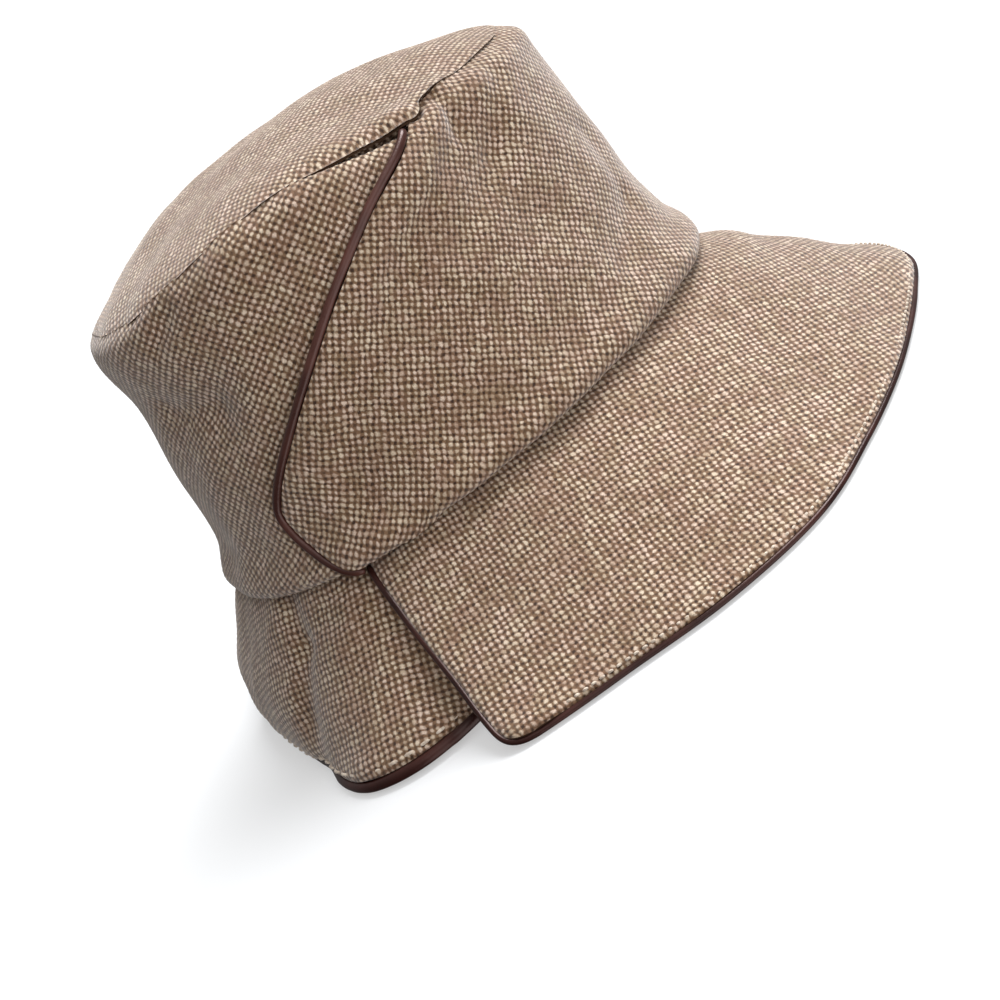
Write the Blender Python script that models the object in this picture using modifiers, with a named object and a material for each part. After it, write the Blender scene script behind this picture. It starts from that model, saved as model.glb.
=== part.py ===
"""A tweed bucket hat: an oval tip, a crown of two overlapping panels, and a brim of two
overlapping pieces, every free edge bound with leather piping.

The wearer faces -Y, +Z is up, and the hat stands on its brim at Z = 0. An angle is counted in
degrees from the front of the hat round to the wearer's right, so the left side is negative.
"""

import math
from collections import namedtuple

import bmesh
import bpy
from mathutils import Vector

# Driving sizes, in metres
OPENING_LENGTH = 0.206
OPENING_WIDTH = 0.158
SEAM_HEIGHT = 0.055
CROWN_HEIGHT = 0.102
TIP_LENGTH = 0.170
TIP_WIDTH = 0.118
TIP_RISE = 0.0165
TIP_SIDE_LIFT = 0.007
BRIM_REACH = 0.064
BRIM_BACK_REACH = 0.040
CROWN_CLOTH = 0.002
BRIM_CLOTH = 0.0025
PIPING = 0.003
CROWN_OVERLAP = 0.012
BRIM_OVERLAP = 0.014
COLLAR = 0.002
DENT = 0.004

# Clearances, in metres
GAP = 0.0003
LAP_GAP = 0.0008
SEAM_GAP = 0.0012
PIPING_GAP = 0.0007
TIP_GAP = 0.0005

# The head is wider behind the ears than at the brow, and fuller at both ends than an ellipse
EGG = 0.13
FULLNESS = 0.93

# How the tip's dome rounds off towards its seam, and how near the seam its rise and dip stay
DOME_POWER = 2.3
SEAM_POWER = 3.0

# How soon a dent fades, and how much of a brim's bulge lies high and how much lower down
DENT_FADE = 1.5
HIGH_BULGE = 0.4
LOW_BULGE = 1.2

# Overlaps: how far a lap stays raised and then comes down, as shares of the overlap, and how
# deep the back brim is tucked in, as a share of the cloth, with the angle where it comes out
LAP_HELD = 1.2
LAP_RELEASE = 1.5
TUCK = 1.3
TUCK_RELEASE = 12.0

# Steps that a surface's direction is measured over
ANGLE_STEP = 0.5
LEVEL_STEP = 0.005

# Rows and columns of each cloth grid, and the points along each piping
TIP_CELLS = 20
CROWN_ROWS = 13
CROWN_FRONT_COLUMNS = 40
CROWN_BACK_COLUMNS = 28
BRIM_ROWS = 9
BRIM_FRONT_COLUMNS = 40
BRIM_BACK_COLUMNS = 30
CROWN_PIPING_STEPS = 30
BRIM_SIDE_STEPS = 14
BRIM_CORNER_STEPS = 7
RIM_STEPS = 30

# The crown's rows crowd towards both ends and the brim's towards the rim
ROW_CROWDING = 0.6
RIM_CROWDING = 1.4

# The crown piping stops just short of the tip, and its points crowd towards the bottom
PIPING_TOP = 0.985
PIPING_CROWDING = 1.3

# Where the brim's side edge ends and its rounded corner starts, as a share of the width
CORNER_START = 0.86

# Crown rings: level is a share of the crown's height; front, back and side say how far the
# wall has gone from the opening's size (0) to the tip's size (1)
CrownRing = namedtuple("CrownRing", "level front back side")
CROWN_RINGS = (
    CrownRing(0.00, 0.00, 0.12, 0.00),
    CrownRing(0.05, -0.15, 0.26, -0.07),
    CrownRing(0.16, 0.22, 0.47, 0.10),
    CrownRing(0.40, 0.41, 0.58, 0.35),
    CrownRing(0.70, 0.54, 0.83, 0.55),
    CrownRing(0.88, 0.60, 0.72, 0.65),
    CrownRing(0.95, 0.66, 0.78, 0.75),
    CrownRing(1.00, 1.00, 1.00, 1.00),
)

# The tip's seam rises and dips round the hat: rise is a share of the crown's height
TipSeam = namedtuple("TipSeam", "angle rise")
TIP_SEAM = (
    TipSeam(-180.0, -0.03),
    TipSeam(-155.0, -0.06),
    TipSeam(-130.0, -0.02),
    TipSeam(-95.0, -0.03),
    TipSeam(-60.0, -0.01),
    TipSeam(-25.0, -0.02),
    TipSeam(0.0, 0.00),
    TipSeam(45.0, -0.02),
    TipSeam(73.0, -0.06),
    TipSeam(92.0, 0.00),
    TipSeam(115.0, 0.02),
    TipSeam(152.0, -0.02),
    TipSeam(180.0, -0.03),
)

# Rear edge of the crown's front panel: level is a share of the crown's height, angle in degrees
PanelEdge = namedtuple("PanelEdge", "level angle")
CROWN_EDGE = (
    PanelEdge(0.00, 131.0),
    PanelEdge(0.03, 135.5),
    PanelEdge(0.10, 140.5),
    PanelEdge(0.18, 143.5),
    PanelEdge(0.27, 142.8),
    PanelEdge(0.44, 129.5),
    PanelEdge(0.65, 109.3),
    PanelEdge(0.81, 90.5),
    PanelEdge(1.00, 68.0),
)

# Side edge of the front brim: level is a share of the brim's width, from the seam to the rim
BRIM_EDGE = (
    PanelEdge(0.00, 130.5),
    PanelEdge(0.25, 126.5),
    PanelEdge(0.57, 122.5),
    PanelEdge(0.88, 119.8),
    PanelEdge(0.95, 118.8),
    PanelEdge(1.00, 116.0),
)

# Brim sections: reach is a share of the brim's reach and bulge of its drop; flare above 0 makes
# the slope steep at the seam and flat at the rim; lift raises the rim, as a share of the drop
BrimSection = namedtuple("BrimSection", "angle reach bulge flare lift")
FRONT_SECTIONS = (
    BrimSection(0.0, 0.95, 0.02, 0.02, 0.00),
    BrimSection(10.0, 0.93, 0.02, 0.03, 0.00),
    BrimSection(20.0, 0.86, 0.02, 0.06, 0.00),
    BrimSection(32.0, 0.81, 0.01, 0.10, 0.00),
    BrimSection(45.0, 0.85, 0.00, 0.15, 0.00),
    BrimSection(60.0, 0.98, 0.00, 0.15, 0.00),
    BrimSection(75.0, 1.10, 0.00, 0.15, 0.00),
    BrimSection(90.0, 1.06, 0.00, 0.15, 0.00),
    BrimSection(105.0, 0.955, 0.00, 0.15, 0.00),
    BrimSection(130.0, 0.95, 0.00, 0.15, 0.00),
)
BACK_SECTIONS = (
    BrimSection(105.0, 0.70, 0.00, 0.10, 0.05),
    BrimSection(122.0, 0.76, 0.00, 0.10, 0.05),
    BrimSection(134.0, 1.06, 0.00, 0.10, 0.04),
    BrimSection(142.0, 1.10, 0.02, 0.00, 0.03),
    BrimSection(150.0, 0.92, 0.06, 0.00, 0.02),
    BrimSection(158.0, 0.68, 0.11, 0.00, 0.01),
    BrimSection(168.0, 0.54, 0.13, 0.00, 0.01),
    BrimSection(180.0, 0.49, 0.13, 0.00, 0.01),
)

# Dents: centre and half size as an angle and a share of the height, depth as a share of DENT
Dent = namedtuple("Dent", "angle level half_angle half_level depth")
CROWN_DENTS = (
    Dent(60.0, 0.75, 12.0, 0.30, 0.6),
    Dent(40.0, 0.28, 14.0, 0.16, 0.4),
    Dent(154.0, 0.64, 18.0, 0.14, 1.0),
    Dent(142.0, 0.93, 8.0, 0.06, 0.5),
    Dent(-75.0, 0.60, 16.0, 0.30, 0.6),
    Dent(-140.0, 0.50, 20.0, 0.18, 0.8),
)
BRIM_DENTS = (
    Dent(155.0, 0.45, 6.0, 0.60, 0.9),
    Dent(-152.0, 0.60, 9.0, 0.70, 0.8),
)

# Finishes, each a colour and a roughness
TWEED = ((0.33, 0.27, 0.21), 0.95)
LEATHER = ((0.055, 0.025, 0.018), 0.35)


def reading(table, key, column, place):
    """A smooth curve through one column of a table, read at a place along its key column."""
    keys = [getattr(row, key) for row in table]
    values = [getattr(row, column) for row in table]
    place = min(max(place, keys[0]), keys[-1])
    last = len(keys) - 2
    i = next((i for i in range(last) if place < keys[i + 1]), last)

    def slope(j):
        low, high = max(j - 1, 0), min(j + 1, last + 1)
        return (values[high] - values[low]) / (keys[high] - keys[low])

    span = keys[i + 1] - keys[i]
    t = (place - keys[i]) / span
    bend_in = slope(i) * span
    bend_out = slope(i + 1) * span
    rise = values[i + 1] - values[i]
    return values[i] + t * (
        bend_in + t * (3 * rise - 2 * bend_in - bend_out + t * (bend_in + bend_out - 2 * rise))
    )


def closer_at_ends(t):
    """0 to 1 in steps that are finer near both ends."""
    return t - ROW_CROWDING * math.sin(2 * math.pi * t) / (2 * math.pi)


def wrapped(angle):
    """The same direction as an angle from -180 to 180."""
    return (angle + 180) % 360 - 180


def eased(t):
    """0 to 1 with no corner at either end."""
    t = min(max(t, 0.0), 1.0)
    return t * t * (3 - 2 * t)


def dented(dents, angle, level):
    """How far inward the dents push the cloth at a place."""
    depth = 0.0
    for dent in dents:
        across = (angle - dent.angle) / dent.half_angle
        along = (level - dent.level) / dent.half_level
        depth += DENT * dent.depth * math.exp(-DENT_FADE * (across**2 + along**2))
    return depth


def egg_ring(angle, half_front, half_back, half_width):
    """A point of an egg-shaped ring in plan."""
    forward = math.cos(math.radians(angle))
    sideways = math.sin(math.radians(angle))
    fuller = math.copysign(abs(sideways) ** FULLNESS, sideways)
    half_length = half_front if forward > 0 else half_back
    return Vector((-half_width * fuller * (1 - EGG * forward), -half_length * forward, 0))


def crown_ring(angle, level):
    """The crown's outer surface in plan, before dents."""

    def half(opening, tip, column):
        share = reading(CROWN_RINGS, "level", column, level)
        return (opening + (tip - opening) * share) / 2

    return egg_ring(
        angle,
        half(OPENING_LENGTH, TIP_LENGTH, "front"),
        half(OPENING_LENGTH, TIP_LENGTH, "back"),
        half(OPENING_WIDTH, TIP_WIDTH, "side"),
    )


def outward(ring, angle):
    """The level direction that points out of a ring."""
    along = ring(angle + ANGLE_STEP) - ring(angle - ANGLE_STEP)
    return Vector((-along.y, along.x, 0)).normalized()


def tip_seam_lift(angle):
    """How far the tip's seam is above its height at the front and back of the hat."""
    side = TIP_SIDE_LIFT * math.sin(math.radians(angle)) ** 2
    return side + CROWN_HEIGHT * reading(TIP_SEAM, "angle", "rise", angle)


def crown_height(angle, level):
    return SEAM_HEIGHT + GAP + level * CROWN_HEIGHT + level**2 * tip_seam_lift(angle)


def facing(place, angle, level):
    """The direction that a surface faces, away from the hat's inside."""
    across = place(angle + ANGLE_STEP, level) - place(angle - ANGLE_STEP, level)
    up = place(angle, level + LEVEL_STEP) - place(angle, level - LEVEL_STEP)
    normal = across.cross(up).normalized()
    point = place(angle, level)
    return normal if normal.x * point.x + normal.y * point.y > 0 else -normal


def crown_surface(angle, level):
    """The crown's outer surface."""
    point = crown_ring(angle, level)
    away = outward(lambda turn: crown_ring(turn, level), angle)
    point -= away * dented(CROWN_DENTS, angle, level)
    point.z = crown_height(angle, level)
    return point


def crown_point(angle, level, out=0.0):
    """A point a distance out from the crown's outer surface."""
    point = crown_surface(angle, level)
    if out:
        point += facing(crown_surface, angle, level) * out
    return point


def crown_edge(level):
    """Where the front panel ends, as an angle."""
    return reading(CROWN_EDGE, "level", "angle", level)


def seam_ring(angle):
    """Where the brim's outer surface comes out from under the crown, in plan."""
    away = outward(lambda turn: crown_ring(turn, 0.0), angle)
    return crown_ring(angle, 0.0) - away * (CROWN_CLOTH + SEAM_GAP)


def collar_point(angle):
    """The top of the collar follows the inside of the crown's wall."""
    return crown_point(angle, COLLAR / CROWN_HEIGHT, -CROWN_CLOTH - SEAM_GAP)


def rim_height():
    """Height of the brim cloth's edge when its piping is pressed on what the hat stands on."""
    return PIPING + GAP


def brim_point(sections, brim_reach, angle, share, out=0.0):
    """The brim's outer surface: share 0 is the seam, 1 the rim, -1 the top of the collar."""
    side = abs(angle)
    away = outward(seam_ring, angle)
    if share < 0:
        return collar_point(angle) + away * out
    drop = SEAM_HEIGHT - rim_height()
    curve = 4 * share * (1 - share)
    bulge = drop * reading(sections, "angle", "bulge", side)
    push = brim_reach * reading(sections, "angle", "reach", side) * share
    push += bulge * curve * (HIGH_BULGE + LOW_BULGE * share)
    push += out - dented(BRIM_DENTS, angle, share) * share
    lift = reading(sections, "angle", "lift", side)
    flare = reading(sections, "angle", "flare", side)
    fall = drop * (share * (1 - lift) + flare * curve / 4)
    return seam_ring(angle) + away * push + Vector((0, 0, SEAM_HEIGHT - fall))


def brim_edge(share):
    """Where the front brim ends, as an angle."""
    return reading(BRIM_EDGE, "level", "angle", max(share, 0.0))


def front_brim_point(angle, share, out=0.0):
    return brim_point(FRONT_SECTIONS, BRIM_REACH, angle, share, out)


def back_brim_point(angle, share, out=0.0):
    """The back brim drops in under the front brim where the two overlap."""
    past = (abs(angle) - brim_edge(share)) / TUCK_RELEASE
    under = (BRIM_CLOTH + LAP_GAP) * TUCK * (1 - eased(past))
    return brim_point(BACK_SECTIONS, BRIM_BACK_REACH, angle, share, out - under)


def angle_of(distance):
    """The angle that a distance takes up along the head opening, about."""
    mean_radius = (OPENING_LENGTH + OPENING_WIDTH) / 4
    return math.degrees(distance / mean_radius)


def front_panel_point(angle, level):
    """The front panel rides over the back one beside its rear edges."""
    inside = (crown_edge(level) - abs(angle)) / angle_of(CROWN_OVERLAP)
    over = (CROWN_CLOTH + LAP_GAP) * (1 - eased((inside - LAP_HELD) / LAP_RELEASE))
    return crown_point(angle, level, over)


def behind(start, across):
    """An angle round the back of the hat, from a start on one side to its mirror on the other."""
    return wrapped(180 - across * (180 - start))


def crown_front_place(across, up):
    level = closer_at_ends((up + 1) / 2)
    return front_panel_point(-across * crown_edge(level), level)


def crown_back_place(across, up):
    level = closer_at_ends((up + 1) / 2)
    start = crown_edge(level) - angle_of(CROWN_OVERLAP)
    return crown_point(behind(start, across), level)


def brim_share(up):
    """From the rim at -1 up to the seam, with the last row as the collar."""
    row = round((up + 1) / 2 * BRIM_ROWS)
    return -1.0 if row == BRIM_ROWS else 1 - (row / (BRIM_ROWS - 1)) ** RIM_CROWDING


def brim_front_place(across, up):
    share = brim_share(up)
    return front_brim_point(-across * brim_edge(share), share)


def brim_back_place(across, up):
    share = brim_share(up)
    start = brim_edge(share) - angle_of(BRIM_OVERLAP)
    return back_brim_point(behind(start, across), share)


def tip_edge(angle):
    """The tip's edge carries on from the top of the crown's wall, far enough to clear it."""
    top = crown_surface(angle, 1.0)
    along = (top - crown_surface(angle, 1.0 - LEVEL_STEP)).normalized()
    return top + along * (TIP_GAP + CROWN_CLOTH * along.z)


def tip_place(across, along):
    """The domed tip, from a square of -1 to 1 both ways that is rounded to the tip's oval."""
    x = across * math.sqrt(1 - along * along / 2)
    y = along * math.sqrt(1 - across * across / 2)
    share = math.hypot(x, y)
    edge = tip_edge(math.degrees(math.atan2(x, y)))
    flat = SEAM_HEIGHT + GAP + CROWN_HEIGHT
    height = flat + (edge.z - flat) * share**SEAM_POWER + TIP_RISE * (1 - share**DOME_POWER)
    return Vector((edge.x * share, edge.y * share, height))


def add(collection, name, data, finish):
    """An object with a material of its own."""
    colour, roughness = finish
    own = bpy.data.materials.new(name)
    own.use_nodes = True
    shader = own.node_tree.nodes["Principled BSDF"]
    shader.inputs["Base Color"].default_value = (*colour, 1)
    shader.inputs["Roughness"].default_value = roughness
    data.materials.clear()
    data.materials.append(own)
    thing = bpy.data.objects.new(name, data)
    collection.objects.link(thing)
    return thing


def panel(collection, name, columns, rows, place, cloth):
    """A sheet of cloth: a grid laid on a surface and given its thickness inward."""
    shape = bmesh.new()
    bmesh.ops.create_grid(shape, x_segments=columns, y_segments=rows, size=1)
    for vertex in shape.verts:
        vertex.co = place(vertex.co.x, vertex.co.y)
    mesh = bpy.data.meshes.new(name)
    shape.to_mesh(mesh)
    shape.free()
    mesh.shade_smooth()
    thing = add(collection, name, mesh, TWEED)
    walls = thing.modifiers.new("cloth", "SOLIDIFY")
    walls.thickness = cloth
    walls.offset = -1
    walls.use_even_offset = True


def piping(collection, name, route):
    """Leather piping along a route."""
    line = bpy.data.curves.new(name, "CURVE")
    line.dimensions = "3D"
    line.bevel_depth = PIPING / 2
    line.bevel_resolution = 2
    line.use_fill_caps = True
    spline = line.splines.new("POLY")
    spline.points.add(len(route) - 1)
    for point, place in zip(spline.points, route):
        point.co = (*place, 1)
    return add(collection, name, line, LEATHER)


def pressed_piping(collection, name, route):
    """Piping made a mesh, and pressed flat where it would go below Z = 0."""
    tube = piping(collection, name, route)
    bpy.context.view_layer.update()
    graph = bpy.context.evaluated_depsgraph_get()
    mesh = bpy.data.meshes.new_from_object(tube.evaluated_get(graph))
    bpy.data.objects.remove(tube)
    shape = bmesh.new()
    shape.from_mesh(mesh)
    bmesh.ops.remove_doubles(shape, verts=shape.verts, dist=0.00001)
    for vertex in shape.verts:
        vertex.co.z = max(vertex.co.z, 0.0)
    shape.to_mesh(mesh)
    shape.free()
    mesh.shade_smooth()
    add(collection, name, mesh, LEATHER)


def beside(place, path, out):
    """A route just past the edge of a panel, on the right of a path seen from outside."""
    points = []
    for i, (angle, level) in enumerate(path):
        before = place(*path[max(i - 1, 0)])
        after = place(*path[min(i + 1, len(path) - 1)])
        normal = facing(place, angle, level)
        aside = (after - before).normalized().cross(normal)
        points.append(place(angle, level) + aside * (PIPING_GAP + PIPING / 2) + normal * out)
    return points


def add_crown_pipings(collection):
    for side, hand in ((1, "right"), (-1, "left")):
        path = []
        for i in range(CROWN_PIPING_STEPS + 1):
            level = PIPING_TOP * (1 - i / CROWN_PIPING_STEPS) ** PIPING_CROWDING
            path.append((side * crown_edge(level), level))
        if side < 0:
            path.reverse()
        piping(collection, "crown_piping_" + hand, beside(crown_point, path, PIPING / 2 + GAP))


def add_brim_front_piping(collection):
    """Down the right side from just below the seam, round the rim and up the left side."""
    shares = [CORNER_START * i / BRIM_SIDE_STEPS for i in range(1, BRIM_SIDE_STEPS)]
    corner = 1 - CORNER_START
    shares += [CORNER_START + corner * i / BRIM_CORNER_STEPS for i in range(BRIM_CORNER_STEPS)]
    side = [(brim_edge(share), share) for share in shares]
    side += [(brim_edge(1) * i / RIM_STEPS, 1.0) for i in range(RIM_STEPS, 0, -1)]
    path = side + [(0.0, 1.0)] + [(-angle, share) for angle, share in reversed(side)]
    pressed_piping(collection, "brim_front_piping", beside(front_brim_point, path, -BRIM_CLOTH / 2))


def add_brim_back_piping(collection):
    start = brim_edge(1) - angle_of(BRIM_OVERLAP)
    turns = [2 * i / BRIM_BACK_COLUMNS - 1 for i in range(BRIM_BACK_COLUMNS + 1)]
    path = [(behind(start, turn), 1.0) for turn in turns]
    pressed_piping(collection, "brim_back_piping", beside(back_brim_point, path, -BRIM_CLOTH / 2))


def centre_on_origin(collection):
    """Everything hangs on an empty, moved along Y until the hat's middle is at the origin.

    The brim and its piping, which are meshes, reach furthest.
    """
    bpy.context.view_layer.update()
    graph = bpy.context.evaluated_depsgraph_get()
    reach = []
    for thing in collection.objects:
        if thing.type == "MESH":
            reach += [corner[1] for corner in thing.evaluated_get(graph).bound_box]
    centre = bpy.data.objects.new("hat_centre", None)
    centre.location.y = -(min(reach) + max(reach)) / 2
    for thing in collection.objects:
        thing.parent = centre
    collection.objects.link(centre)


def main():
    for thing in list(bpy.data.objects):
        bpy.data.objects.remove(thing)
    hat = bpy.data.collections.new("bucket_hat")
    bpy.context.scene.collection.children.link(hat)
    panel(hat, "crown_tip", TIP_CELLS, TIP_CELLS, tip_place, CROWN_CLOTH)
    panel(hat, "crown_front", CROWN_FRONT_COLUMNS, CROWN_ROWS, crown_front_place, CROWN_CLOTH)
    panel(hat, "crown_back", CROWN_BACK_COLUMNS, CROWN_ROWS, crown_back_place, CROWN_CLOTH)
    panel(hat, "brim_front", BRIM_FRONT_COLUMNS, BRIM_ROWS, brim_front_place, BRIM_CLOTH)
    panel(hat, "brim_back", BRIM_BACK_COLUMNS, BRIM_ROWS, brim_back_place, BRIM_CLOTH)
    add_crown_pipings(hat)
    add_brim_front_piping(hat)
    add_brim_back_piping(hat)
    centre_on_origin(hat)


main()
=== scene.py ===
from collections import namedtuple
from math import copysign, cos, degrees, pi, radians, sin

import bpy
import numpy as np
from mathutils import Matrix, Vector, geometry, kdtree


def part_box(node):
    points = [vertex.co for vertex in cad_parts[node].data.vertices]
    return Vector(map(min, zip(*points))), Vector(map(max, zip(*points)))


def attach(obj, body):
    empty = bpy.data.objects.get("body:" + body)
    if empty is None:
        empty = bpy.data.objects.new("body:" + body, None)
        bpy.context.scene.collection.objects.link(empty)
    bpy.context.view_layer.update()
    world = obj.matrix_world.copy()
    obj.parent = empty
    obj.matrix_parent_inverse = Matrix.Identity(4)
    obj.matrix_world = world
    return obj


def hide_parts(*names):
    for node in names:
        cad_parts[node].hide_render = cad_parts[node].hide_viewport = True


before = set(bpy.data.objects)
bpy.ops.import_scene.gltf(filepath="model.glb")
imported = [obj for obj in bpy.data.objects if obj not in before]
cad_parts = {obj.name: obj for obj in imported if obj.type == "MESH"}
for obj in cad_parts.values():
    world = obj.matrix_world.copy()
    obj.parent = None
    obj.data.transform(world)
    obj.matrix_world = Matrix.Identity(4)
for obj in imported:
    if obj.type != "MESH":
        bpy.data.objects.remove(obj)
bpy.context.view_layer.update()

# The look of a tweed bucket hat: panels of coarse woven cloth whose threads stand out in the
# mesh, leather piping along the free edges, and topstitching beside the rims.
#
# The wearer faces -Y and +Z is up. An angle is counted in degrees from the front of the hat round
# to the wearer's right, so the left side is negative. A turn is the same angle, but on a panel at
# the back it runs on past 180 to the other side. A level is a share of a panel's height or width.

# The frame's driving sizes, in metres
OPENING_LENGTH = 0.206
OPENING_WIDTH = 0.158
SEAM_HEIGHT = 0.055
CROWN_HEIGHT = 0.102
TIP_LENGTH = 0.170
TIP_WIDTH = 0.118
TIP_RISE = 0.0165
TIP_SIDE_LIFT = 0.007
BRIM_REACH = 0.064
BRIM_BACK_REACH = 0.040
CROWN_CLOTH = 0.002
BRIM_CLOTH = 0.0025
PIPING = 0.003
CROWN_OVERLAP = 0.012
BRIM_OVERLAP = 0.014
COLLAR = 0.004
DENT = 0.004

# The middle of the hat's shapes in the frame, from the tip's box
tip_low, tip_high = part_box("crown_tip")
HAT_CENTRE = np.array([0.0, (tip_low.y + tip_high.y) / 2, 0.0])

# How much further the front brim's cloth reaches than the frame's, because its piping is thinner
BRIM_EXTRA = 0.0028

# The frame's clearances, and the least height of cloth above the floor, in metres
GAP = 0.0003
LAP_GAP = 0.0008
SEAM_GAP = 0.0012
TIP_GAP = 0.0005
FLOOR_GAP = 0.0002

# Height of the brim cloth's edge when its piping touches the floor
RIM_HEIGHT = PIPING + GAP

# Shape of the head opening and of the tip's dome
EGG = 0.13
FULLNESS = 0.93
DOME_POWER = 2.3
SEAM_POWER = 3.0

# Dents, bulges and overlaps
DENT_FADE = 1.5
HIGH_BULGE = 0.4
LOW_BULGE = 1.2
LAP_HELD = 1.2
LAP_RELEASE = 1.5
TUCK = 1.3
TUCK_RELEASE = 12.0

# Steps that a surface's direction is measured over, in degrees and as a share
ANGLE_STEP = 0.5
LEVEL_STEP = 0.005

# The weave: the pitch of its threads, the mesh points on each, how far they stand out, and how
# uneven they are, by a square of random cells that repeats
PITCH = 0.0021
POINTS_A_THREAD = 3
WEAVE_RELIEF = 0.00016
UNEVEN = 0.35
UNEVEN_CELLS = 256
UNEVEN_SEED = 11

# The step of the plainer inside's lattice, in threads
INSIDE_STEP = 1.5

# Spacing of the points along a panel's edge, and the clear margins beside them, in metres
EDGE_STEP = 0.0008
EDGE_MARGIN = 0.00035
INSIDE_MARGIN = 3 * EDGE_MARGIN

# Points that edges and the paths of piping and stitches are first read at
SIDE_POINTS = 2000
LONG_POINTS = 4000
TIP_POINTS = 8000
CROWN_PATH = 1200
SIDE_PATH = 900
RIM_PATH = 1500
STITCH_PATH = 2000

# Slow waves in the cloth: how many, their height, and their shortest and longest length
WAVES = 9
WAVE_HEIGHT = 0.00016
WAVE_LENGTHS = (0.018, 0.060)

# Points in the tables that lay a panel flat, how many degrees they run past its ends, and how far
# short of their end they are read
FLAT_COLUMNS = 361
FLAT_ROWS = 121
OVERHANG = 3.0
SHORT_OF_END = 1.001

# The least number divided by, the tip's least level, and how near two flat points count as one
TINY = 1e-12
TIP_MIDDLE = 1e-4
SAME_POINT = 1e-6

# Piping: the spacing of its rings and the sides of a ring
PIPING_STEP = 0.0012
PIPING_SIDES = 14

# Rows of stitches: how far aside from the edge, the pitch, the share of it that shows, the
# thread's radius, how high a stitch arches, and the points along each pitch
StitchRow = namedtuple("StitchRow", "aside pitch share radius lift")
FRONT_ROW = StitchRow(-0.0018, 0.0031, 0.5, 0.0005, 0.0004)
BACK_ROW = StitchRow(0.0022, 0.0064, 0.74, 0.00056, 0.0008)
STITCH_POINTS = 8


def named_rows(columns, *rows):
    """A table with named columns."""
    Row = namedtuple("Row", columns)
    return tuple(Row(*row) for row in rows)


# Crown rings: front, back and side go from the opening's size (0) to the tip's size (1)
CROWN_RINGS = named_rows(
    "level front back side",
    (0, 0, 0.12, 0),
    (0.05, -0.03, 0.3, -0.07),
    (0.16, 0.22, 0.53, 0.1),
    (0.4, 0.41, 0.58, 0.35),
    (0.7, 0.54, 0.83, 0.55),
    (0.88, 0.6, 0.72, 0.65),
    (0.95, 0.66, 0.78, 0.75),
    (1, 1, 1, 1),
)

# The tip's seam rises and dips round the hat: rise is a share of the crown's height
TIP_SEAM = named_rows(
    "angle rise",
    (-180, -0.03), (-155, -0.06), (-130, -0.02), (-95, -0.03), (-60, -0.01),
    (-25, -0.035), (0, -0.02), (45, -0.035), (73, -0.06), (92, 0),
    (115, 0.02), (152, -0.02), (180, -0.03),
)

# Rear edge of the crown's front panel, and side edge of the front brim
CROWN_EDGE = named_rows(
    "level angle",
    (0, 131), (0.03, 135.5), (0.1, 140.5), (0.18, 143.5), (0.27, 142.8),
    (0.44, 129.5), (0.65, 109.3), (0.81, 90.5), (1, 68),
)
BRIM_EDGE = named_rows(
    "level angle",
    (0, 131.5), (0.25, 127.6), (0.57, 123.7), (0.9, 121),
    (0.955, 120.2), (0.982, 119.2), (0.9955, 118), (1, 116.8),
)

# Brim sections: reach is a share of the brim's reach and bulge of its drop; flare above 0 makes
# the slope steep at the seam and flat at the rim; lift raises the rim, as a share of the drop
SECTION_ROW = "angle reach bulge flare lift"
FRONT_SECTIONS = named_rows(
    SECTION_ROW,
    (0, 0.95, 0.02, -0.06, 0), (10, 0.93, 0.02, -0.06, 0),
    (20, 0.86, 0.02, -0.04, 0), (32, 0.84, 0.01, 0.05, 0),
    (45, 0.885, 0, 0.12, 0), (60, 0.98, 0, 0.15, 0),
    (75, 1.1, 0, 0.15, 0), (90, 1.06, 0, 0.15, 0),
    (105, 0.955, 0, 0.15, 0), (130, 0.95, 0, 0.15, 0),
)
BACK_SECTIONS = named_rows(
    SECTION_ROW,
    (105, 0.7, 0, 0.1, 0.05), (122, 0.76, 0, 0.1, 0.05),
    (134, 1.06, 0, 0.1, 0.04), (142, 1.1, 0.02, 0, 0.03),
    (150, 0.92, 0.06, 0, 0.02), (158, 0.68, 0.11, 0, 0.01),
    (168, 0.54, 0.13, 0, 0.01), (180, 0.49, 0.13, 0, 0.01),
)

# Dents: centre and half size as an angle and a share of the height, depth as a share of DENT
DENT_ROW = "angle level half_angle half_level depth"
CROWN_DENTS = named_rows(
    DENT_ROW,
    (60, 0.75, 12, 0.3, 0.6),
    (40, 0.28, 14, 0.16, 0.4),
    (154, 0.64, 18, 0.14, 1),
    (142, 0.93, 8, 0.06, 0.5),
    (-75, 0.6, 16, 0.3, 0.6),
    (-140, 0.5, 20, 0.18, 0.8),
)
BRIM_DENTS = named_rows(
    DENT_ROW,
    (155, 0.45, 6, 0.6, 1.3),
    (-152, 0.6, 9, 0.7, 0.8),
    (0, 0.17, 30, 0.16, -4.5),
    (0, 0.72, 28, 0.22, 0.8),
)

# How cloth rolls over beside an edge, in metres: it puffs out a width away from it and tucks in
# at it, over the tuck width
EdgeRoll = namedtuple("EdgeRoll", "puff width tuck")
NO_ROLL = EdgeRoll(0.0, 0.003, 0.0)
CROWN_FOOT = EdgeRoll(0.0010, 0.0045, 0.0013)
BACK_FOOT = EdgeRoll(0.0017, 0.0045, 0.0014)
PIPED_EDGE = EdgeRoll(0.0004, 0.0030, 0.0006)
TUCK_WIDTH = 0.0015

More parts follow.
